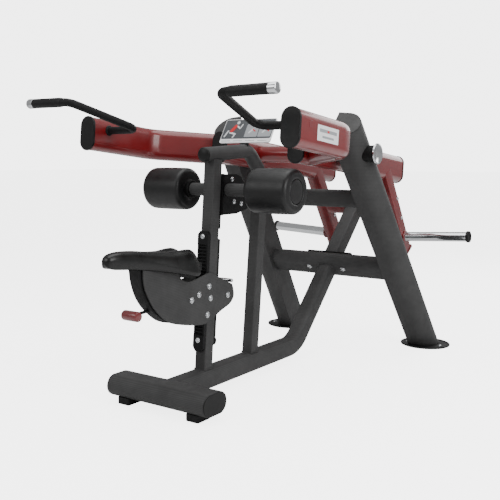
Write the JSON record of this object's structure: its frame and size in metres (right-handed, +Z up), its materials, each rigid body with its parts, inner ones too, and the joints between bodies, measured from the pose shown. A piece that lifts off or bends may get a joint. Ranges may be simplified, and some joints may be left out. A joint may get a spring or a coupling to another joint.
{
  "type": "plate-loaded seated dip machine",
  "caption": "Free-standing seated dip machine with a pivoting two-handle lever, weight horns, thigh rollers and a sliding saddle.",
  "frame": {"origin": "centre of the machine's footprint, on the floor", "axes": "+X across the machine, +Y from the saddle towards the rear legs, +Z up"},
  "size_m": [1.2024, 2.1157, 1.2098],
  "materials": {
    "frame_paint": "fine-textured charcoal powder coat",
    "lever_paint": "gloss maroon paint",
    "black_metal": "satin black",
    "chrome": "polished",
    "rubber": "matt moulded",
    "cap_plastic": "satin moulded",
    "pad_skin": "black self-skinning foam, satin",
    "placard": "printed panel",
    "knob_red": "gloss moulded",
    "shaft_grey": "satin grey"
  },
  "bodies": {
    "frame": {"leg_left": "frame_paint", "leg_right": "frame_paint", "front_foot_tube": "frame_paint", "lower_cross_member": "frame_paint", "upper_cross_member": "frame_paint", "main_beam": "frame_paint", "stop_strut": "frame_paint", "neck_tube": "frame_paint", "front_post": "frame_paint", "rear_post": "frame_paint", "leg_cap_left": "cap_plastic", "leg_cap_right": "cap_plastic", "front_foot_cap_left": "cap_plastic", "front_foot_cap_right": "cap_plastic", "neck_cap": "cap_plastic", "foot_plate_left": "rubber", "foot_plate_right": "rubber", "foot_pad_left": "rubber", "foot_pad_right": "rubber", "stop_bumper": "rubber", "rack_plate": "black_metal", "gas_strut": "black_metal", "roller_bracket": "black_metal", "placard_bracket": "black_metal", "bearing_housing_left": "black_metal", "bearing_housing_right": "black_metal", "roller_shaft": "shaft_grey", "placard_panel": "placard", "pivot_cover_left": "chrome", "pivot_cover_right": "chrome"},
    "lever": {"rear_tube_left": "lever_paint", "rear_tube_right": "lever_paint", "tube_front_cap_left": "cap_plastic", "tube_front_cap_right": "cap_plastic", "tube_rear_cap_left": "cap_plastic", "tube_rear_cap_right": "cap_plastic", "arm_left": "lever_paint", "arm_right": "lever_paint", "arm_cap_left": "cap_plastic", "arm_cap_right": "cap_plastic", "hanging_arm_left": "lever_paint", "hanging_arm_right": "lever_paint", "hanging_arm_cap_left": "lever_paint", "hanging_arm_cap_right": "lever_paint", "horn_left": "chrome", "horn_right": "chrome", "handle_left": "black_metal", "handle_right": "black_metal", "grip_left": "rubber", "grip_right": "rubber", "pivot_shaft": "black_metal", "lever_brace": "lever_paint"},
    "roller_l": {"roller_left": "pad_skin"},
    "roller_r": {"roller_right": "pad_skin"},
    "carriage": {"carriage_plate_left": "frame_paint", "carriage_plate_right": "frame_paint", "carriage_front_strip": "rubber", "saddle": "pad_skin"},
    "latch": {"latch_lever": "black_metal", "latch_knob": "knob_red"}
  },
  "joints": [
    {"name": "lever_pivot", "type": "hinge", "parent": "frame", "child": "lever", "pos_m": [0, 0.1661, 0.994], "axis": [1, 0, 0], "range_deg": [0, 35]},
    {"name": "roller_left_spin", "type": "hinge", "parent": "frame", "child": "roller_l", "pos_m": [-0.27, -0.3829, 0.844], "axis": [1, 0, 0], "continuous": true},
    {"name": "roller_right_spin", "type": "hinge", "parent": "frame", "child": "roller_r", "pos_m": [0.27, -0.3829, 0.844], "axis": [1, 0, 0], "continuous": true},
    {"name": "seat_slide", "type": "slide", "parent": "frame", "child": "carriage", "axis": [0, 0.0868, 0.9962], "range_m": [-0.1, 0.15]},
    {"name": "latch_hinge", "type": "hinge", "parent": "carriage", "child": "latch", "pos_m": [0, -0.6229, 0.417], "axis": [1, 0, 0], "range_deg": [-3, 0], "stiffness_Nm_per_rad": 15, "springref_deg": 5.73}
  ]
}
